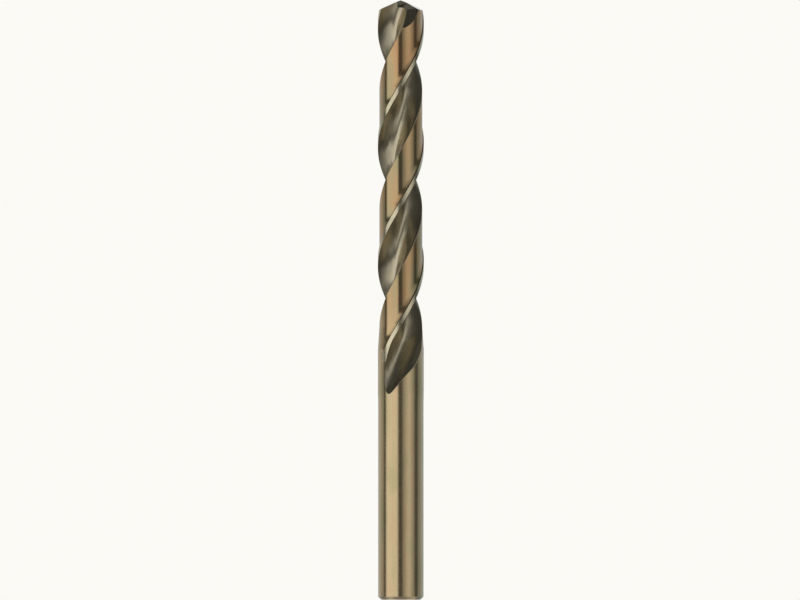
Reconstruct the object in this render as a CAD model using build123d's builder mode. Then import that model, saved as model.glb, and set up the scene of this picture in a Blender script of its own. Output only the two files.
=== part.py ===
"""Jobber twist drill with a straight shank and a split point.

One piece of cobalt high-speed steel, modelled the way it is ground: a turned blank, two helical
flutes that run out towards the shank, lands relieved behind their margins, and a point with a lip
facet, a heel facet and a web notch for each of the two lips.

Millimetres. The drill stands on its shank end: the origin is the centre of that end, +Z runs up the
axis to the point, and the cutting lips lie along X. The helix is right-handed, so the drill cuts
when it turns counter-clockwise as seen from the point.
"""

import os
from math import asin, atan, cos, degrees, pi, radians, sin, sqrt, tan

from build123d import *

# Driving dimensions, in millimetres and degrees ---------------------------------------------------

overall_length = 133.0
drill_diameter = 10.2
shank_diameter = 10.1
shank_chamfer = 0.7
shank_taper = 2.0             # length of the cone between shank and body

flute_length = 87.0           # from the point to the last trace of the flutes
helix_lead = 52.5             # advance of a flute along the axis in one turn
web_thickness = 2.0           # between the lines of the two lips
floor_radius = 1.55           # from the axis to where the flute's cutting side meets its floor
land_angle = 86.5             # margin and relieved land together, seen along the axis
runout_length = 11.4          # part of the flute length in which a flute loses its depth
runout_wheel_diameter = 200.0 # grinding wheel that leaves the flute there
runout_lift_angle = 58.5      # from the leading edge to the way the wheel lifts, along the axis
runout_drift = 18.8           # slant of the wheel's way out, against the axis
runout_turn_share = 0.44      # share of the helix's turn that the run-out keeps

margin_angle = 11.0           # full-diameter strip behind each leading edge
margin_height = 0.33          # from the margin down to the relieved land
margin_shoulder_slope = 45.0  # of the shoulder behind the margin, against the radius
relief_ramp_angle = 15.0      # flat strip that the relief leaves before that shoulder
relief_length = 77.5          # from the point to the end of the relieved land
relief_fade = 5.0             # part of that length in which the relief dies out

point_angle = 135.0
lip_clearance = 12.0          # slope of the facet behind each lip
heel_facet_setback = 1.9      # from the axis to the heel facet, level with the apex
heel_facet_slope = 65.0       # from the horizontal
heel_facet_turn = 18.0        # past square to the lip, seen along the axis

chisel_web = 0.5              # web left between the walls of the two notches
notch_turn = 27.0             # from the main lip to the inner lip, seen along the axis
notch_depth = 1.15            # of the notch's root below the apex, at the axis
notch_fall = 20.0             # slope of the notch's root, outwards
notch_angle = 100.0           # between the notch's wall and its floor

# Derived values -----------------------------------------------------------------------------------

drill_radius = drill_diameter / 2
shank_radius = shank_diameter / 2
half_web = web_thickness / 2
relieved_radius = drill_radius - margin_height
half_point = radians(point_angle / 2)
turn_per_mm = 2 * pi / helix_lead
overcut = 1.5                 # how far each cutting tool reaches past the blank

lip_rise = half_web * tan(radians(lip_clearance)) / sin(half_point)
lip_apex_height = overall_length + lip_rise       # where the lines of the lips pass the axis
flute_end_height = overall_length - flute_length
wheel_radius = runout_wheel_diameter / 2
full_flute_height = flute_end_height + runout_length
relief_end_height = overall_length - relief_length
tool_top = overall_length + overcut


def polar(radius, angle):
    return Vector(radius * cos(angle), radius * sin(angle))


def flute_angle(radius):
    """Polar angle of the flute's cutting side, in the section level with the apex of the lips."""
    along_lip = sqrt(radius**2 - half_web**2)
    return asin(half_web / radius) + turn_per_mm * along_lip / tan(half_point)


leading_angle = flute_angle(drill_radius)
heel_angle = leading_angle + radians(180 - land_angle)
runout_angle = leading_angle + radians(runout_lift_angle)
margin_back_angle = leading_angle - radians(margin_angle)


def turned(height):
    """Turn of the helix at a height, in degrees, counted from the section level with the lips."""
    return degrees(turn_per_mm * (height - lip_apex_height))


def helical_sweep(section, bottom, top):
    """Sweep a section up the axis between two heights, turning with the helix."""
    with BuildLine() as path:
        Line((0, 0, bottom), (0, 0, top))
    with BuildLine() as guide:
        Helix(helix_lead, top - bottom, drill_radius, center=(0, 0, bottom))
    start = Pos(0, 0, bottom) * Rot(0, 0, turned(bottom)) * section
    sweep(start, path=path.line, binormal=guide.edge())


# Flute: the space that one flute takes out of the blank -------------------------------------------

with BuildSketch() as flute_section:
    with BuildLine():
        side_length = drill_radius + overcut - floor_radius
        side_radii = [floor_radius + side_length * step / 5 for step in range(6)]
        cutting_side = Spline(*[polar(radius, flute_angle(radius)) for radius in side_radii])
        heel_corner = polar((relieved_radius + drill_radius) / 2, heel_angle)
        heel_side = Bezier(
            cutting_side @ 0,
            cutting_side @ 0 - (cutting_side % 0) * 0.37 * drill_radius,
            heel_corner + polar(0.33 * drill_radius, radians(-20)),
            heel_corner,
        )
        heel_exit = Line(heel_corner, heel_corner + (heel_side % 1) * 1.5 * overcut)
        RadiusArc(heel_exit @ 1, cutting_side @ 1, drill_radius + overcut)
    make_face()


def runout_section(drop):
    """Flute section below the full-depth flute: partly turned, drifted sideways and lifted out."""
    drift = radians(runout_drift)
    lift = wheel_radius - sqrt(wheel_radius**2 - (drop / cos(drift)) ** 2)
    shift = polar(lift, runout_angle) + polar(drop * tan(drift), runout_angle - pi / 2)
    own_turn = Rot(0, 0, -degrees(runout_turn_share * turn_per_mm * drop))
    place = Pos(0, 0, full_flute_height - drop) * Rot(0, 0, turned(full_flute_height))
    return place * Pos(shift.X, shift.Y) * own_turn * flute_section.sketch


runout_steps = 8
runout_reach = 1.3            # times the run-out's length, until the section is clear of the blank

with BuildPart() as flute:
    helical_sweep(flute_section.sketch, full_flute_height, tool_top)
    loft([
        runout_section(runout_reach * runout_length * step / runout_steps)
        for step in range(runout_steps + 1)
    ])

# Land relief: the shallow band behind one margin, dying out beside the run-out --------------------

skim = 0.1                    # how far the relief's fading end rises clear of the body
relief_tail_height = relief_end_height - relief_fade * skim / margin_height
relief_end_angle = leading_angle - radians(land_angle + 12)
ramp_angle = margin_back_angle - radians(relief_ramp_angle)
ramp_normal = polar(1, ramp_angle)
ramp_foot = polar(0.999 * relieved_radius, ramp_angle)
shoulder_top = polar(drill_radius, margin_back_angle)
shoulder = polar(1, margin_back_angle + radians(margin_shoulder_slope))
shoulder_fall = (shoulder_top - ramp_foot).dot(ramp_normal) / shoulder.dot(ramp_normal)

with BuildSketch() as relief_sector:
    with BuildLine():
        Polyline(
            shoulder_top + shoulder * 2 * overcut,
            shoulder_top - shoulder * shoulder_fall,
            ramp_foot,
            ramp_normal * (relieved_radius - overcut),
        )
        inner_rim = RadiusArc(
            ramp_normal * (relieved_radius - overcut),
            polar(relieved_radius - overcut, relief_end_angle),
            relieved_radius - overcut,
        )
        end_side = Line(inner_rim @ 1, polar(drill_radius + 2 * overcut, relief_end_angle))
        RadiusArc(end_side @ 1, shoulder_top + shoulder * 2 * overcut, -drill_radius - 2 * overcut)
    make_face()

with BuildPart() as relief:
    helical_sweep(relief_sector.sketch, relief_tail_height, tool_top)
    with BuildSketch(Plane.XZ):
        with BuildLine():
            Polyline(
                (relieved_radius, tool_top),
                (relieved_radius, relief_end_height + relief_fade),
                (drill_radius + skim, relief_tail_height),
                (drill_radius + 2 * overcut, relief_tail_height),
                (drill_radius + 2 * overcut, tool_top),
                close=True,
            )
        make_face()
    revolve(axis=Axis.Z, mode=Mode.INTERSECT)

# Point: what the grinding of one lip takes off ----------------------------------------------------

lip_direction = Vector(sin(half_point), 0, -cos(half_point))
above_lip = Vector(cos(half_point), 0, sin(half_point))
behind_lip = Vector(0, -1, 0)
clearance = radians(lip_clearance)
lip_facet = Plane(
    origin=(0, half_web, lip_apex_height),
    x_dir=lip_direction,
    z_dir=above_lip * cos(clearance) + behind_lip * sin(clearance),
)

heel_downhill = polar(1, radians(-90 - heel_facet_turn))
heel_slope = radians(heel_facet_slope)
heel_facet = Plane(
    origin=heel_downhill * heel_facet_setback + Vector(0, 0, overall_length),
    z_dir=heel_downhill * sin(heel_slope) + Vector(0, 0, cos(heel_slope)),
)

notch_open_side = polar(1, radians(90 + notch_turn))
fall = radians(notch_fall)
notch_root = Plane(
    origin=notch_open_side * (chisel_web / 2) + Vector(0, 0, overall_length - notch_depth),
    x_dir=notch_open_side,
    z_dir=polar(cos(fall), radians(notch_turn)) + Vector(0, 0, -sin(fall)),
)

with BuildPart() as point_grind:
    for facet in (lip_facet, heel_facet):
        with BuildSketch(facet):
            Circle(drill_diameter * 2)
        extrude(amount=drill_diameter)
    with BuildSketch(notch_root):
        with BuildLine():
            reach = drill_radius
            Polyline(
                (0, 0),
                (0, reach),
                (reach, reach),
                (reach, -reach * tan(radians(notch_angle - 90))),
                close=True,
            )
        make_face()
    extrude(amount=reach, both=True)

# Drill --------------------------------------------------------------------------------------------

with BuildPart() as drill_bit:
    with BuildSketch(Plane.XZ):
        with BuildLine():
            Polyline(
                (0, 0),
                (shank_radius - shank_chamfer, 0),
                (shank_radius, shank_chamfer),
                (shank_radius, flute_end_height - shank_taper),
                (drill_radius, flute_end_height),
                (drill_radius, overall_length + overcut / 2),
                (0, overall_length + overcut / 2),
                close=True,
            )
        make_face()
    revolve(axis=Axis.Z)
    for tool in (flute, relief, point_grind):
        with PolarLocations(0, 2):
            add(tool.part, mode=Mode.SUBTRACT)

drill_bit.part.label = "drill_bit"

os.makedirs("parts", exist_ok=True)
export_step(drill_bit.part, "parts/drill_bit.step")
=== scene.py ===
"""Jobber twist drill in straw-tempered cobalt high-speed steel, standing on its shank end.

The steel is drawn again here at the same dimensions as its solid, with rings of points that follow
the helix, so that the ground surfaces reflect without facets. Lengths are in millimetres until the
mesh is finished, and it is then brought to metres.
"""

import math

import bmesh
import bpy
from mathutils import Matrix, Vector


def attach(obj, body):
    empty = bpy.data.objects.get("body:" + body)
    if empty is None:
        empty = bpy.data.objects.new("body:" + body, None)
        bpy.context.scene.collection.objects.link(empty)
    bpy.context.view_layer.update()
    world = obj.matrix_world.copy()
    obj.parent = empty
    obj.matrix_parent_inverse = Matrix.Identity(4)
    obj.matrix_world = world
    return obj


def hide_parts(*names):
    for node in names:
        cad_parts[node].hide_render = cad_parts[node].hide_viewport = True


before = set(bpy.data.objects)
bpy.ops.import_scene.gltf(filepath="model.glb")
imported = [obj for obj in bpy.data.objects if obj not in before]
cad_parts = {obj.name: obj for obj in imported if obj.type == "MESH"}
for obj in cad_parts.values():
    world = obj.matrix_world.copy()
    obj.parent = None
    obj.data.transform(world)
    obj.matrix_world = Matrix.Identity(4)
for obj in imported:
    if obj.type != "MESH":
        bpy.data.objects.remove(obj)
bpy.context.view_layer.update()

MM = 0.001

# Dimensions of the drill, millimetres and radians -------------------------------------------------

LENGTH = 133.0
RADIUS = 5.1
SHANK_RADIUS = 5.05
SHANK_CHAMFER = 0.7
CONE_LENGTH = 2.0             # of the short cone between the shank's cylinder and the body
FLUTE_LENGTH = 87.0           # from the point to the top of that cone
RUNOUT_LENGTH = 11.4          # part of it in which a flute loses its depth

LEAD = 52.5                   # advance of a flute along the axis in one turn
HALF_WEB = 1.0                # from the axis to the line of either lip
HALF_POINT = math.radians(135 / 2)
FLOOR_RADIUS = 1.55           # from the axis to where a flute's cutting side meets its floor
OVERCUT = 1.5                 # how far outside the body the flute's outline starts
FLOOR_PULL = 0.37             # handle of the heel side's curve at the floor, of the radius
HEEL_PULL = 0.33              # handle of the same curve at the heel's edge, of the radius
HEEL_PULL_ANGLE = math.radians(-20)  # the way that this handle points
EDGE_BREAK = 0.09             # how far the stoned flat goes in from the heel's edge, on each side
WIDEST_BREAK = 1 / 6          # the most that it may be of the flute's width, near the flute's end

LAND_ANGLE = math.radians(86.5)    # margin and relieved land together
MARGIN_ANGLE = math.radians(11)    # full-diameter strip behind each leading edge
MARGIN_HEIGHT = 0.33          # from the margin down to the relieved land
MARGIN_END = 52.5             # lowest height of the margin's own grinding
SHOULDER_SLOPE = math.radians(45)  # of the shoulder behind the margin, against the radius
RAMP_ANGLE = math.radians(15)      # flat strip that the relief leaves before that shoulder
RELIEF_LENGTH = 77.5          # from the point to the end of the relieved land
RELIEF_FADE = 5.0             # part of it in which the relief dies out

WHEEL_RADIUS = 100.0          # of the round cutter that rises out of the steel in the run-out
RUNOUT_ANGLE = math.radians(58.5)  # from the leading edge to the way that the cutter rises
RUNOUT_DRIFT = math.radians(18.8)  # slant of the cutter's way out, against the axis
RUNOUT_TURN_SHARE = 0.44      # share of the helix's turn that the run-out keeps

LIP_CLEARANCE = math.radians(12)   # slope of the facet behind each lip
HEEL_FACET_SETBACK = 1.9      # from the axis to the heel facet, level with the point
HEEL_FACET_SLOPE = math.radians(65)  # from the level
HEEL_FACET_TURN = math.radians(18)  # past square to the lip
CHISEL_WEB = 0.5              # left between the walls of the two notches
NOTCH_TURN = math.radians(27)      # from the main lip to the inner lip
NOTCH_DEPTH = 1.15            # of the notch's root below the point, at the axis
NOTCH_FALL = math.radians(20)      # slope of the notch's root, outwards
NOTCH_ANGLE = math.radians(100)    # between the notch's wall and its floor

BODY_BOTTOM = LENGTH - FLUTE_LENGTH
SHANK_TOP = BODY_BOTTOM - CONE_LENGTH
FULL_FLUTE = BODY_BOTTOM + RUNOUT_LENGTH  # the flute is at full depth above this height
RELIEF_END = LENGTH - RELIEF_LENGTH
RELIEVED_RADIUS = RADIUS - MARGIN_HEIGHT
TURN = 2 * math.pi / LEAD     # of the helix, per millimetre of height
LIP_APEX = LENGTH + HALF_WEB * math.tan(LIP_CLEARANCE) / math.sin(HALF_POINT)
HALF_TURNS = (0, math.pi)     # the drill's two sides are alike, half a turn apart


# Section of the drill -----------------------------------------------------------------------------

def polar(radius, angle):
    return Vector((radius * math.cos(angle), radius * math.sin(angle)))


def turned(point, angle):
    return Matrix.Rotation(angle, 2) @ point


def angle_near(point, expected):
    """Polar angle of a point, in the turn that is nearest to an expected angle."""
    angle = math.atan2(point.y, point.x)
    return angle + 2 * math.pi * round((expected - angle) / (2 * math.pi))


def cutting_side_angle(radius):
    """Polar angle of a flute's cutting side, in the section level with the apex of the lips."""
    along_lip = math.sqrt(radius**2 - HALF_WEB**2)
    return math.asin(HALF_WEB / radius) + TURN * along_lip / math.tan(HALF_POINT)


LEADING_ANGLE = cutting_side_angle(RADIUS)
HEEL_ANGLE = LEADING_ANGLE + math.pi - LAND_ANGLE
HALF_FLUTE_ANGLE = (HEEL_ANGLE - LEADING_ANGLE) / 2
LIFT_ANGLE = LEADING_ANGLE + RUNOUT_ANGLE

PROFILE_STEPS = 120           # along each side of the flute's outline
EXIT_STEP = 0.1               # between the points that carry it on outside the heel
EXIT_STEPS = 50
HALVINGS = 40                 # of the range in which a crossing is looked for


def flute_profile():
    """Outline of one flute from outside the leading edge, over its floor, to outside the heel."""
    reach = RADIUS + OVERCUT - FLOOR_RADIUS
    radii = [
        RADIUS + OVERCUT - reach * step / PROFILE_STEPS for step in range(PROFILE_STEPS + 1)
    ]
    points = [polar(radius, cutting_side_angle(radius)) for radius in radii]
    floor = points[-1]
    along = (points[-1] - points[-2]).normalized()
    heel = polar((RELIEVED_RADIUS + RADIUS) / 2, HEEL_ANGLE)
    handles = (
        floor,
        floor + along * FLOOR_PULL * RADIUS,
        heel + polar(HEEL_PULL * RADIUS, HEEL_PULL_ANGLE),
        heel,
    )
    for step in range(1, PROFILE_STEPS + 1):
        t = step / PROFILE_STEPS
        weights = ((1 - t) ** 3, 3 * (1 - t) ** 2 * t, 3 * (1 - t) * t**2, t**3)
        points.append(sum((h * w for h, w in zip(handles, weights)), Vector((0, 0))))
    onward = (handles[3] - handles[2]).normalized()
    points += [heel + onward * EXIT_STEP * step for step in range(1, EXIT_STEPS)]
    return points


FLUTE = flute_profile()


def flute_at(height):
    """The flute's outline at a height, placed in the drill."""
    drop = FULL_FLUTE - height
    if drop <= 0:
        turn = TURN * (height - LIP_APEX)
        return [turned(point, turn) for point in FLUTE]
    lift = WHEEL_RADIUS - math.sqrt(WHEEL_RADIUS**2 - (drop / math.cos(RUNOUT_DRIFT)) ** 2)
    shift = polar(lift, LIFT_ANGLE)
    shift += polar(drop * math.tan(RUNOUT_DRIFT), LIFT_ANGLE - math.pi / 2)
    own_turn = -RUNOUT_TURN_SHARE * TURN * drop
    turn = TURN * (FULL_FLUTE - LIP_APEX)
    return [turned(turned(point, own_turn) + shift, turn) for point in FLUTE]


def crossing(inner, outer, radius):
    """Point where the line from a point inside a circle to one outside it crosses the circle."""
    low, high = 0.0, 1.0
    for _ in range(HALVINGS):
        middle = (low + high) / 2
        if inner.lerp(outer, middle).length < radius:
            low = middle
        else:
            high = middle
    return inner.lerp(outer, low)


def body_radius(height):
    """Radius of the bar before the flutes and the relief are cut."""
    up_cone = min(1, max(0, (height - SHANK_TOP) / (BODY_BOTTOM - SHANK_TOP)))
    return SHANK_RADIUS + (RADIUS - SHANK_RADIUS) * up_cone - max(0, SHANK_CHAMFER - height)


def land_radius(height):
    """Radius of the relieved land, which comes up to the bar's at its lower end."""
    fade = (height - RELIEF_END) / RELIEF_FADE
    return body_radius(height) + (RELIEVED_RADIUS - RADIUS) * min(1, max(0, fade))


def spread(points, count):
    """The given number of points, evenly spaced along a chain of points."""
    runs = [0.0]
    for near, far in zip(points, points[1:]):
        runs.append(runs[-1] + (far - near).length)
    spaced, i = [], 0
    for k in range(count):
        want = runs[-1] * k / (count - 1)
        while i < len(runs) - 2 and runs[i + 1] < want:
            i += 1
        span = runs[i + 1] - runs[i]
        spaced.append(points[i].lerp(points[i + 1], (want - runs[i]) / span if span else 0))
    return spaced


def flute_inside(height, count):
    """The part of the flute's outline that is in the steel, or None below the flute's end."""
    outline = flute_at(height)
    radius, heel_limit = body_radius(height), land_radius(height)
    inside = [i for i, point in enumerate(outline) if point.length < heel_limit]
    if not inside:
        return None
    first, last = inside[0], inside[-1]
    while first > 0 and outline[first - 1].length < radius:
        first -= 1
    start = crossing(outline[first], outline[first - 1], radius)
    end = crossing(outline[last], outline[last + 1], heel_limit)
    return spread([start] + outline[first:last + 1] + [end], count)


def flute_end():
    """Lowest height that the flute reaches, and the polar angle of that point."""
    low, high = SHANK_TOP, FULL_FLUTE
    for _ in range(HALVINGS):
        middle = (low + high) / 2
        if flute_inside(middle, 2) is None:
            low = middle
        else:
            high = middle
    tip = flute_inside(high, 3)[1]
    return high, math.atan2(tip.y, tip.x)


FLUTE_END, FLUTE_END_ANGLE = flute_end()

# Points of half a ring, by what they lie on
FLUTE_POINTS = 76
LAND_POINTS = 40
RAMP_POINTS = 6
MARGIN_POINTS = 10
HALF_RING = FLUTE_POINTS + LAND_POINTS + RAMP_POINTS + MARGIN_POINTS
RAMP_END = FLUTE_POINTS + LAND_POINTS + RAMP_POINTS - 1  # at the shoulder's foot


def relieved(low, heel, back, radius):
    """The relieved land from the heel on: an arc, a flat ramp and the foot of the shoulder."""
    ramp = back - RAMP_ANGLE
    top = polar(radius, back - ramp)
    slope = polar(1, back - ramp + SHOULDER_SLOPE)
    fall = max(0, (top.x - low) / slope.x)
    foot = top - slope * fall
    arc = [polar(low, heel + (ramp - heel) * k / LAND_POINTS) for k in range(1, LAND_POINTS + 1)]
    flat = [
        turned(Vector((low, foot.y * k / RAMP_POINTS)), ramp) for k in range(1, RAMP_POINTS + 1)
    ]
    return arc + flat


def break_edge(flute, radius):
    """Take the sharpness off the flute's heel edge, and give the far side of that small flat."""
    corner = flute[-1]
    wide = min(EDGE_BREAK, (flute[-1] - flute[0]).length * WIDEST_BREAK)
    flute[-1] = corner + (flute[-2] - corner).normalized() * wide
    return polar(radius, math.atan2(corner.y, corner.x) + wide / radius)


def half_ring(height):
    """One flute, the land after it and the next margin, counter-clockwise; flute points coincide
    below the flute's end."""
    radius = body_radius(height)
    flute = flute_inside(height, FLUTE_POINTS - 1) if height > FLUTE_END else None
    if flute is None:
        flute = [polar(radius, FLUTE_END_ANGLE)] * FLUTE_POINTS
    else:
        flute += [break_edge(flute, min(radius, land_radius(height)))]
    turn = TURN * (height - LIP_APEX)
    start = angle_near(flute[0], turn + LEADING_ANGLE)
    heel = angle_near(flute[-1], start + HALF_FLUTE_ANGLE)
    next_start = start + math.pi
    back = turn + LEADING_ANGLE + math.pi - MARGIN_ANGLE
    if height < RELIEF_END:
        kept = TURN * (RELIEF_END - LIP_APEX) + LEADING_ANGLE + math.pi - MARGIN_ANGLE
        back = next_start - margin_width_at_relief_end(kept)
    if land_radius(height) < radius:
        land = relieved(land_radius(height), heel, back, radius)
    else:
        count = LAND_POINTS + RAMP_POINTS
        land = [polar(radius, heel + (back - heel) * k / count) for k in range(1, count + 1)]
    margin = [
        polar(radius, back + (next_start - back) * k / MARGIN_POINTS) for k in range(MARGIN_POINTS)
    ]
    return flute + land + margin


def margin_width_at_relief_end(back):
    """Angle that the margin takes up where the relief ends, from the polar angle of its back."""
    start = flute_inside(RELIEF_END, 2)[0]
    return angle_near(start, back - math.pi + MARGIN_ANGLE) + math.pi - back


# Mesh of the drill --------------------------------------------------------------------------------

FLUTE_FINISH = 0
LAND_FINISH = 1
MARGIN_FINISH = 2
# The heel edge's small flat carries a painted highlight.
EDGE_HIGHLIGHT_FINISH = 3
SHANK_FINISH = 4
POINT_FINISH = 5
END_FINISH = 6

EDGE_RING = 0.05              # from an edge of the shank to the ring that keeps it crisp
SHANK_RING = 2.0              # between the rings of the plain shank
CONE_RING = 0.8               # from the foot of the cone to a ring part way up it
RUNOUT_RINGS = 48
RUNOUT_CROWDING = 1.6         # rings of the run-out stand closer near its end
FLUTED_RINGS = 236
TOP_SPARE = 0.4               # of the stack above the lips' apex, for the grinding to take off
WELD = 1e-5                   # points nearer than this are one
SHARP_EDGE = math.radians(24)  # edges that turn the surface by more stay crisp


def heights():
    """Heights of the rings, close together where the flute runs out and at the cones' edges."""
    shank = [0.0, SHANK_CHAMFER, SHANK_CHAMFER + EDGE_RING]
    shank += [SHANK_RING * k for k in range(1, int(SHANK_TOP / SHANK_RING))]
    cone = [SHANK_TOP - EDGE_RING, SHANK_TOP, SHANK_TOP + CONE_RING]
    runout = [
        FLUTE_END + (FULL_FLUTE - FLUTE_END) * (k / RUNOUT_RINGS) ** RUNOUT_CROWDING
        for k in range(RUNOUT_RINGS + 1)
    ]
    spacing = (LIP_APEX + TOP_SPARE - FULL_FLUTE) / FLUTED_RINGS
    fluted = [FULL_FLUTE + spacing * k for k in range(1, FLUTED_RINGS + 1)]
    return shank + cone + runout + fluted


def finish_of(column, height):
    """Finish of the face that starts at a point of a ring and lies above it."""
    if height >= FLUTE_END and column < FLUTE_POINTS - 2:
        return FLUTE_FINISH
    if height >= FLUTE_END and column == FLUTE_POINTS - 2:
        return EDGE_HIGHLIGHT_FINISH
    if height >= RELIEF_END and column <= RAMP_END:
        return LAND_FINISH
    if height >= MARGIN_END and column >= RAMP_END:
        return MARGIN_FINISH
    return SHANK_FINISH if height >= SHANK_CHAMFER else END_FINISH


def is_edge(column, height):
    """True where the line up from a column's point is an edge of the steel."""
    at_flute = column in (0, FLUTE_POINTS - 2, FLUTE_POINTS - 1) and height >= FLUTE_END
    at_shoulder = column in (RAMP_END, RAMP_END + 1) and height >= RELIEF_END
    return at_flute or at_shoulder


def stack(mesh, levels):
    """Join the rings at all the heights with faces, and close both ends."""
    rings = []
    for height in levels:
        half = half_ring(height)
        whole = half + [-point for point in half]
        rings.append([mesh.verts.new((point.x, point.y, height)) for point in whole])
    for low, high, height in zip(rings, rings[1:], levels):
        for i in range(len(low)):
            j = (i + 1) % len(low)
            face = mesh.faces.new((low[i], low[j], high[j], high[i]))
            face.material_index = finish_of(i % HALF_RING, height)
            face.smooth = True
        for i in range(len(low)):
            if is_edge(i % HALF_RING, height):
                mesh.edges.get((low[i], high[i])).smooth = False
    foot = mesh.faces.new(reversed(rings[0]))
    foot.material_index = END_FINISH
    mesh.faces.new(rings[-1])


def grind_flat(mesh, point, normal):
    """Take off what lies above a plane, and close the cut with one flat face."""
    everything = list(mesh.verts) + list(mesh.edges) + list(mesh.faces)
    cut = bmesh.ops.bisect_plane(
        mesh, geom=everything, dist=WELD, plane_co=point, plane_no=normal, clear_outer=True
    )
    rim = [part for part in cut["geom_cut"] if isinstance(part, bmesh.types.BMEdge)]
    made = bmesh.ops.edgeloop_fill(mesh, edges=rim)
    for face in made["faces"]:
        face.material_index = POINT_FINISH
        face.smooth = False


def direction(angle, rise):
    """Unit vector at an angle round the drill, risen from the level."""
    flat = polar(math.cos(rise), angle)
    return Vector((flat.x, flat.y, math.sin(rise)))


def point_planes():
    """The lip facet and the heel facet of one lip: a point on each, and its outward normal."""
    lip_normal = Vector((math.cos(HALF_POINT), 0, math.sin(HALF_POINT))) * math.cos(LIP_CLEARANCE)
    lip_normal -= Vector((0, math.sin(LIP_CLEARANCE), 0))
    downhill = direction(-math.pi / 2 - HEEL_FACET_TURN, 0)
    heel_normal = direction(-math.pi / 2 - HEEL_FACET_TURN, math.pi / 2 - HEEL_FACET_SLOPE)
    return (
        (Vector((0, HALF_WEB, LIP_APEX)), lip_normal),
        (downhill * HEEL_FACET_SETBACK + Vector((0, 0, LENGTH)), heel_normal),
    )


def notch_wedge(name, half_turn):
    """The grinding wheel's corner that splits the point, as a prism."""
    open_side = direction(math.pi / 2 + NOTCH_TURN, 0)
    across = direction(NOTCH_TURN, -NOTCH_FALL)
    along = across.cross(open_side)
    root = open_side * (CHISEL_WEB / 2) + Vector((0, 0, LENGTH - NOTCH_DEPTH))
    reach = RADIUS
    drop = reach * math.tan(NOTCH_ANGLE - math.pi / 2)
    corners = ((0, 0), (0, reach), (reach, reach), (reach, -drop))
    mesh = bmesh.new()
    ends = []
    for side in (-reach, reach):
        ends.append([])
        for x, y in corners:
            place = root + open_side * x + along * y + across * side
            place.rotate(Matrix.Rotation(half_turn, 3, "Z"))
            ends[-1].append(mesh.verts.new(place))
    for i in range(4):
        mesh.faces.new((ends[0][i], ends[0][i - 1], ends[1][i - 1], ends[1][i]))
    mesh.faces.new(ends[0])
    mesh.faces.new(reversed(ends[1]))
    bmesh.ops.recalc_face_normals(mesh, faces=mesh.faces)
    for face in mesh.faces:
        face.material_index = POINT_FINISH
    return to_object(mesh, name)


def to_object(mesh, name):
    """Put a mesh that is done into the scene as an object."""
    data = bpy.data.meshes.new(name)
    mesh.to_mesh(data)
    mesh.free()
    made = bpy.data.objects.new(name, data)
    bpy.context.scene.collection.objects.link(made)
    return made


def cut_notches(drill):
    """Split the point with the two wheels."""
    wedges = [notch_wedge("notch_wheel", half_turn) for half_turn in HALF_TURNS]
    for wedge in wedges:
        cut = drill.modifiers.new("notch", "BOOLEAN")
        cut.operation = "DIFFERENCE"
        cut.solver = "EXACT"
        cut.object = wedge
    evaluated = drill.evaluated_get(bpy.context.evaluated_depsgraph_get())
    shaped = bpy.data.meshes.new_from_object(evaluated)
    drill.modifiers.clear()
    drill.data = shaped
    for wedge in wedges:
        bpy.data.objects.remove(wedge)


def complete_mesh(drill):
    """Keep the edges of the steel crisp and all else smooth, and bring the mesh to metres."""
    mesh = bmesh.new()
    mesh.from_mesh(drill.data)
    bmesh.ops.remove_doubles(mesh, verts=mesh.verts, dist=WELD)
    for edge in mesh.edges:
        if len(edge.link_faces) == 2 and edge.calc_face_angle() > SHARP_EDGE:
            edge.smooth = False
    for face in mesh.faces:
        face.smooth = True
    bmesh.ops.scale(mesh, vec=(MM, MM, MM), verts=mesh.verts)
    mesh.to_mesh(drill.data)
    mesh.free()


def build_drill():
    """The whole drill: the stack of rings, ground at its point and notched by the two wheels."""
    mesh = bmesh.new()
    stack(mesh, heights())
    bmesh.ops.remove_doubles(mesh, verts=mesh.verts, dist=WELD)
    for point, normal in point_planes():
        for half_turn in HALF_TURNS:
            spin = Matrix.Rotation(half_turn, 3, "Z")
            grind_flat(mesh, spin @ point, spin @ normal)
    drill = to_object(mesh, "drill")
    cut_notches(drill)
    complete_mesh(drill)
    return drill


# Steels -------------------------------------------------------------------------------------------

# All the surfaces are one bar of cobalt high-speed steel, hardened, ground and tempered in air. The
# oxide of the temper tints it straw, bronze and olive in soft patches, and every surface keeps the
# parallel lines of the wheel or tool that made it. Such lines are 0.02 to 0.04 mm apart. They are
# drawn 2 to 6 times as coarse, and 12 to 25 times on the margins, because finer ones don't show.

PATCH_SIZE = 5.0              # of the temper's patches round the drill, in millimetres
PATCH_STRETCH = 0.35          # how fast they change along the drill, against round it
PATCH_SPREAD = (0.34, 0.50, 0.66)  # values of the patches' noise that take the three tempers
LINE_LENGTH = 12.0            # of the lines along a flute, millimetres
LINE_SWEEP = 3.0              # of the lines round the drill
WAVE_LENGTH = 2.2             # of the waviness that the milling cutter leaves across a flute
WAVE_STRETCH = 0.4            # how fast it changes along the flute, against across it
LINE_SPREAD = (0.3, 0.7)      # values of the lines' noise from valley to crest
SHEEN_CHANGE = (-0.05, 0.06)  # of the roughness, from valley to crest
# Painted shade: between these shares of the radius a flute's colour darkens towards its heel.
HEEL_SIDE = (0.25, 0.85)      # shares of the radius between which a flute darkens to its heel
PALING = 10.0                 # length over which the land's bronze pales to the shank's straw


def linear(code):
    """Linear RGBA of an sRGB colour written as a hex code."""
    levels = []
    for i in (1, 3, 5):
        level = int(code[i:i + 2], 16) / 255
        levels.append(level / 12.92 if level <= 0.04045 else ((level + 0.055) / 1.055) ** 2.4)
    return (*levels, 1)


def add(tree, kind, inputs=None, **settings):
    """Add a node, make its settings, and give its inputs values or links from other sockets."""
    node = tree.nodes.new(kind)
    for name, value in settings.items():
        setattr(node, name, value)
    for name, value in (inputs or {}).items():
        if isinstance(value, bpy.types.NodeSocket):
            tree.links.new(value, node.inputs[name])
        else:
            node.inputs[name].default_value = value
    return node


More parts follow.
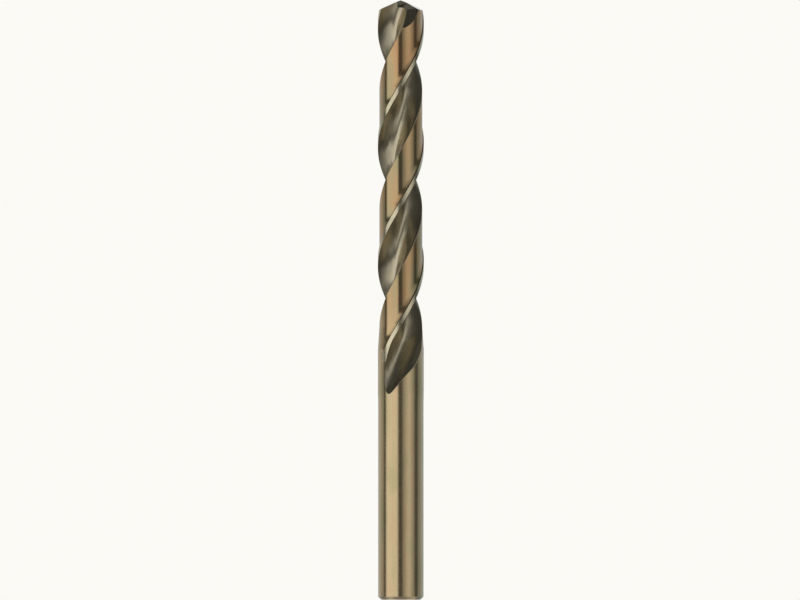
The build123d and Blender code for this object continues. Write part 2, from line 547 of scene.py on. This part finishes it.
def untwisted(tree, place, height):
    """A place with the helix's turn taken out, so that the section is the same at every height."""
    untwist = add(
        tree, "ShaderNodeMath", {0: height, 1: -TURN / MM, 2: TURN * LIP_APEX},
        operation="MULTIPLY_ADD",
    ).outputs[0]
    return add(
        tree, "ShaderNodeVectorRotate", {"Vector": place, "Angle": untwist},
        rotation_type="Z_AXIS",
    ).outputs[0]


def temper_patches(tree, place, tempers):
    """The temper's three colours, in soft patches that are drawn out along the drill."""
    drawn_out = add(
        tree, "ShaderNodeVectorMath", {0: place, 1: (1, 1, PATCH_STRETCH)}, operation="MULTIPLY"
    ).outputs[0]
    patches = add(
        tree, "ShaderNodeTexNoise",
        {"Vector": drawn_out, "Scale": 1 / (PATCH_SIZE * MM), "Detail": 2.0, "Roughness": 0.5},
    ).outputs["Fac"]
    tint = add(tree, "ShaderNodeValToRGB", {"Fac": patches})
    stops = tint.color_ramp.elements
    stops.new(PATCH_SPREAD[1])
    for stop, position, temper in zip(stops, PATCH_SPREAD, tempers):
        stop.position, stop.color = position, linear(temper)
    return tint.outputs["Color"]


def paled(tree, colour, height, pale):
    """A colour that pales down the drill, to another one where the relief ends."""
    above = add(
        tree, "ShaderNodeMapRange",
        {"Value": height, "From Min": RELIEF_END * MM, "From Max": (RELIEF_END + PALING) * MM},
    ).outputs["Result"]
    # The two colours of this node are its inputs 6 and 7, and their mix is its output 2.
    return add(
        tree, "ShaderNodeMix", {0: above, 6: linear(pale), 7: colour}, data_type="RGBA"
    ).outputs[2]


def painted_shade_to_heel(tree, colour, in_section, share):
    """A flute's colour with painted shade, darker towards its heel, where the given share of it is
    left.
    """
    to_heel = (math.cos(HEEL_ANGLE), math.sin(HEEL_ANGLE), 0)
    side = add(
        tree, "ShaderNodeVectorMath", {0: in_section, 1: to_heel}, operation="DOT_PRODUCT"
    ).outputs["Value"]
    side = add(tree, "ShaderNodeMath", {0: side}, operation="ABSOLUTE").outputs[0]
    shade = add(
        tree, "ShaderNodeMapRange",
        {"Value": side, "From Min": HEEL_SIDE[0] * RADIUS * MM,
         "From Max": HEEL_SIDE[1] * RADIUS * MM, "To Min": 1.0, "To Max": share},
    ).outputs["Result"]
    return add(
        tree, "ShaderNodeVectorMath", {0: colour, 1: shade}, operation="MULTIPLY"
    ).outputs[0]


def tool_lines(tree, start, stretch):
    """The fine parallel lines that the wheel or tool leaves, as noise drawn out along them."""
    stretched = add(
        tree, "ShaderNodeVectorMath", {0: start, 1: stretch}, operation="MULTIPLY"
    ).outputs[0]
    return add(
        tree, "ShaderNodeTexNoise",
        {"Vector": stretched, "Scale": 1.0, "Detail": 2.0, "Roughness": 0.6},
    ).outputs["Fac"]


def wavy(tree, relief, in_section, depth):
    """A flute's relief with the cutter's soft waves added to it."""
    rows = add(
        tree, "ShaderNodeVectorMath", {0: in_section, 1: (1, 1, WAVE_STRETCH)},
        operation="MULTIPLY",
    ).outputs[0]
    waves = add(
        tree, "ShaderNodeTexNoise",
        {"Vector": rows, "Scale": 1 / (WAVE_LENGTH * MM), "Detail": 1.0, "Roughness": 0.5},
    ).outputs["Fac"]
    return add(
        tree, "ShaderNodeBump",
        {"Height": waves, "Strength": 1.0, "Distance": depth * MM, "Normal": relief},
    ).outputs["Normal"]


def steel(name, tempers, roughness, line_pitch, line_depth, helical=False, wave_depth=0.0,
          painted_heel_shade=None, pales_to=None):
    """A surface of the tempered steel. Pitch and depth are in millimetres, tempers are the three
    colours of its patches, and painted_heel_shade is the share of colour that painted shade
    leaves at a flute's heel."""
    material = bpy.data.materials.new(name)
    material.use_nodes = True
    tree = material.node_tree
    tree.nodes.clear()
    place = add(tree, "ShaderNodeTexCoord").outputs["Object"]
    height = add(tree, "ShaderNodeSeparateXYZ", {"Vector": place}).outputs["Z"]
    in_section = untwisted(tree, place, height)

    colour = temper_patches(tree, place, tempers)
    if pales_to:
        colour = paled(tree, colour, height, pales_to)
    # Painted shade: the flute's colour is darkened towards its heel.
    if painted_heel_shade:
        colour = painted_shade_to_heel(tree, colour, in_section, painted_heel_shade)

    across = 1 / (line_pitch * MM)
    if helical:
        lines = tool_lines(tree, in_section, (across, across, 1 / (LINE_LENGTH * MM)))
    else:
        sweep = 1 / (LINE_SWEEP * MM)
        lines = tool_lines(tree, place, (sweep, sweep, across))
    relief = add(
        tree, "ShaderNodeBump",
        {"Height": lines, "Strength": 1.0, "Distance": line_depth * MM},
    ).outputs["Normal"]
    if wave_depth:
        relief = wavy(tree, relief, in_section, wave_depth)
    sheen = add(
        tree, "ShaderNodeMapRange",
        {"Value": lines, "From Min": LINE_SPREAD[0], "From Max": LINE_SPREAD[1],
         "To Min": roughness + SHEEN_CHANGE[0], "To Max": roughness + SHEEN_CHANGE[1]},
    ).outputs["Result"]
    shader = add(
        tree, "ShaderNodeBsdfPrincipled",
        {"Base Color": colour, "Metallic": 1.0, "Roughness": sheen, "Normal": relief},
    )
    add(tree, "ShaderNodeOutputMaterial", {"Surface": shader.outputs[0]})
    return material


def finishes():
    """The steels of the drill's surfaces, in the order of the finish numbers."""
    return [
        # Milled flutes: grey straw, darker to the heel with painted shade, and with a soft sheen
        # that wanders in waves.
        steel("milled_flute_steel", ("#A9A08A", "#B2A78E", "#A39A86"), roughness=0.30,
              line_pitch=0.10, line_depth=0.004, helical=True, wave_depth=0.26, painted_heel_shade=0.70),
        # Relief-ground lands: bronze and the smoothest, so that light and dark meet in clean bands.
        steel("relieved_land_steel", ("#A98460", "#A98D68", "#9A8C6B"), roughness=0.16,
              line_pitch=0.08, line_depth=0.0015, pales_to="#B09B78"),
        # Circular-ground margins: pale, with ticks of the wheel across the narrow strip.
        steel("ground_margin_steel", ("#B6AC92", "#C0B59A", "#AEA68D"), roughness=0.22,
              line_pitch=0.50, line_depth=0.022),
        # Stoned heel edge: a thin flat, made bright with a painted highlight along the edge.
        steel("stoned_edge_highlight_steel", ("#D2C0A0", "#DCCBAC", "#D8C4B0"), roughness=0.30,
              line_pitch=0.12, line_depth=0.004),
        # Centreless-ground shank: light straw, and nearly as smooth as the lands.
        steel("centreless_ground_steel", ("#B09876", "#B29E7C", "#A69874"), roughness=0.18,
              line_pitch=0.08, line_depth=0.0005),
        # Wheel-ground point: dark and nearly grey, with little of the temper's straw left on it.
        steel("ground_point_steel", ("#88826F", "#918A78", "#827C6C"), roughness=0.24,
              line_pitch=0.08, line_depth=0.003),
        # Turned end of the shank: duller than the cylinder above it.
        steel("turned_end_steel", ("#B2A284", "#BCAC8E", "#A89A7E"), roughness=0.30,
              line_pitch=0.10, line_depth=0.004),
    ]


# Studio -------------------------------------------------------------------------------------------

CAMERA_AZIMUTH = -21.3
PX = 1 / 4.508                # millimetres of the drill that one pixel of 800 takes in
IMAGE_WIDTH = 800
IMAGE_HEIGHT = 600
AXIS_COLUMN = 400.85          # pixel column of the drill's axis
POINT_ROW = 0.25              # pixel row of the tip of its point
CAMERA_DISTANCE = 0.6         # metres
CLIP_START = 0.01
CLIP_END = 10


def camera():
    """A side view with no perspective, which the drill fills from top to bottom."""
    data = bpy.data.cameras.new("camera")
    data.type = "ORTHO"
    data.ortho_scale = IMAGE_WIDTH * PX * MM
    data.clip_start = CLIP_START
    data.clip_end = CLIP_END
    made = bpy.data.objects.new("camera", data)
    bpy.context.scene.collection.objects.link(made)
    turn = math.radians(CAMERA_AZIMUTH)
    right = Vector((math.cos(turn), math.sin(turn), 0))
    back = Vector((math.sin(turn), -math.cos(turn), 0))
    middle = (LENGTH - (IMAGE_HEIGHT / 2 - POINT_ROW) * PX) * MM
    aside = (IMAGE_WIDTH / 2 - AXIS_COLUMN) * PX * MM
    made.location = back * CAMERA_DISTANCE + right * aside + Vector((0, 0, middle))
    made.rotation_euler = (math.pi / 2, 0, turn)
    bpy.context.scene.camera = made


# The studio that the steel mirrors, in degrees: azimuth of each soft panel from the camera to the
# right, its half width, its brightness, the share of it lost at the panel's sides, its colour, and
# the elevations between which it fades out upwards and downwards. Overlapping panels add up.
PANELS = (
    (-64, 17, 1.30, 0.12, "#FFFFFF", (8, 28), (-8, -66)),                 # two tall ones, left
    (-31, 17, 1.28, 0.12, "#FFFFFF", (0, 20), (-8, -66)),
    (41, 33, 0.88, 0.60, "#FFFFFF", (2, 28), (-3, -50)),                  # a wide one, right
    (8, 22, 0.34, 0.30, "#FFFFFF", (19, 34), (18, 12)),                   # over the camera
    (-10, 8, 0.16, 0.00, "#FFFFFF", (-18, -8), (-36, -52)),               # under the camera
    (-135, 39, 0.78, 0.40, "#ECEEF2", (0, 14), (-14, -50)),               # behind the drill, left
    (138, 43, 0.68, 0.50, "#DEEEFA", (20, 40), (-14, -50)),               # behind it, right
    (180, 9, 1.30, 0.10, "#FFFFFF", (5, 25), (-5, -25)),                  # straight behind it
    (180, 84, 0.50, 0.30, "#FFFFFF", (75, 90), (54, 40)),                 # behind it and high
    (0, 200, 0.32, 0.00, "#F4F2EC", (-80, -66), (-100, -110)),            # straight below it
    (180, 84, 0.90, 0.00, "#F4F2EC", (-54, -40), (-66, -80)),             # behind it and low
)
PANEL_EDGE = 3                # half the width in which a panel's side edge fades, in degrees
GAP_COLOUR = "#DDE6E2"        # of the dim rest of that studio
GAP_LIGHT = 0.17              # of it near the level
STEEP_LIGHT = 0.09            # of it far above or below the level
GAP_FADE = (10, 30)           # elevations, up or down, from the one light to the other
PAPER = "#FBFAF6"

FLOOR_COLOUR = "#F4F2EC"
FLOOR_ROUGHNESS = 0.9
FLOOR_HALF = 2.0              # half the side of the paper on the floor, metres


def with_panel(tree, light, view, rise, panel):
    """The light from each direction with one soft panel's added to it."""
    azimuth, half, bright, loss, colour, top, foot = panel
    turn = -math.radians(CAMERA_AZIMUTH - 90 + azimuth)
    faced = add(
        tree, "ShaderNodeVectorRotate", {"Vector": view, "Angle": turn}, rotation_type="Z_AXIS"
    ).outputs[0]
    parts = add(tree, "ShaderNodeSeparateXYZ", {"Vector": faced}).outputs
    aside = add(
        tree, "ShaderNodeMath", {0: parts["Y"], 1: parts["X"]}, operation="ARCTAN2"
    ).outputs[0]
    aside = add(tree, "ShaderNodeMath", {0: aside}, operation="ABSOLUTE").outputs[0]
    shone = bright
    for value, full, none, least in (
        (aside, 0, half, 1 - loss),
        (aside, half - PANEL_EDGE, half + PANEL_EDGE, 0),
        (rise, *top, 0),
        (rise, *foot, 0),
    ):
        shade = add(
            tree, "ShaderNodeMapRange",
            {"Value": value, "From Min": math.radians(full), "From Max": math.radians(none),
             "To Min": 1.0, "To Max": least},
            interpolation_type="SMOOTHSTEP",
        ).outputs["Result"]
        shone = add(
            tree, "ShaderNodeMath", {0: shade, 1: shone}, operation="MULTIPLY"
        ).outputs[0]
    return add(
        tree, "ShaderNodeVectorMath", {0: shone, 1: linear(colour)[:3], 2: light},
        operation="MULTIPLY_ADD",
    ).outputs[0]


def studio():
    """Pale paper all round, but soft panels and gaps in its place for what the steel mirrors."""
    world = bpy.data.worlds.new("studio")
    bpy.context.scene.world = world
    world.use_nodes = True
    tree = world.node_tree
    tree.nodes.clear()
    view = add(tree, "ShaderNodeTexCoord").outputs["Generated"]
    upward = add(tree, "ShaderNodeSeparateXYZ", {"Vector": view}).outputs["Z"]
    rise = add(tree, "ShaderNodeMath", {0: upward}, operation="ARCSINE").outputs[0]
    level = add(tree, "ShaderNodeMath", {0: rise}, operation="ABSOLUTE").outputs[0]
    gap = [[c * light for c in linear(GAP_COLOUR)[:3]] for light in (GAP_LIGHT, STEEP_LIGHT)]
    near, far = (math.radians(angle) for angle in GAP_FADE)
    # The ends of a vector's ranges are this node's inputs 7 to 10.
    light = add(
        tree, "ShaderNodeMapRange",
        {"Vector": level, 7: (near,) * 3, 8: (far,) * 3, 9: gap[0], 10: gap[1]},
        data_type="FLOAT_VECTOR",
    ).outputs["Vector"]
    for panel in PANELS:
        light = with_panel(tree, light, view, rise, panel)
    mirrored = add(tree, "ShaderNodeBackground", {"Color": light, "Strength": 1.0}).outputs[0]
    paper = add(
        tree, "ShaderNodeBackground", {"Color": linear(PAPER), "Strength": 1.0}
    ).outputs[0]
    by_steel = add(tree, "ShaderNodeLightPath").outputs["Is Glossy Ray"]
    seen = add(tree, "ShaderNodeMixShader", {0: by_steel, 1: paper, 2: mirrored}).outputs[0]
    add(tree, "ShaderNodeOutputWorld", {"Surface": seen})


def floor():
    """A sheet of matt paper that takes the drill's shadow. The steel doesn't mirror it."""
    data = bpy.data.meshes.new("floor")
    corners = [(x * FLOOR_HALF, y * FLOOR_HALF, 0) for x, y in ((-1, -1), (1, -1), (1, 1), (-1, 1))]
    data.from_pydata(corners, [], [(0, 1, 2, 3)])
    made = bpy.data.objects.new("floor", data)
    bpy.context.scene.collection.objects.link(made)
    material = bpy.data.materials.new("floor_paper")
    material.use_nodes = True
    shader = material.node_tree.nodes["Principled BSDF"]
    shader.inputs["Base Color"].default_value = linear(FLOOR_COLOUR)
    shader.inputs["Roughness"].default_value = FLOOR_ROUGHNESS
    data.materials.append(material)
    made.visible_glossy = False


drill = build_drill()
for finish in finishes():
    drill.data.materials.append(finish)
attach(drill, "root")
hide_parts("drill_bit")

camera()
studio()
floor()
bpy.context.scene.view_settings.view_transform = "Standard"
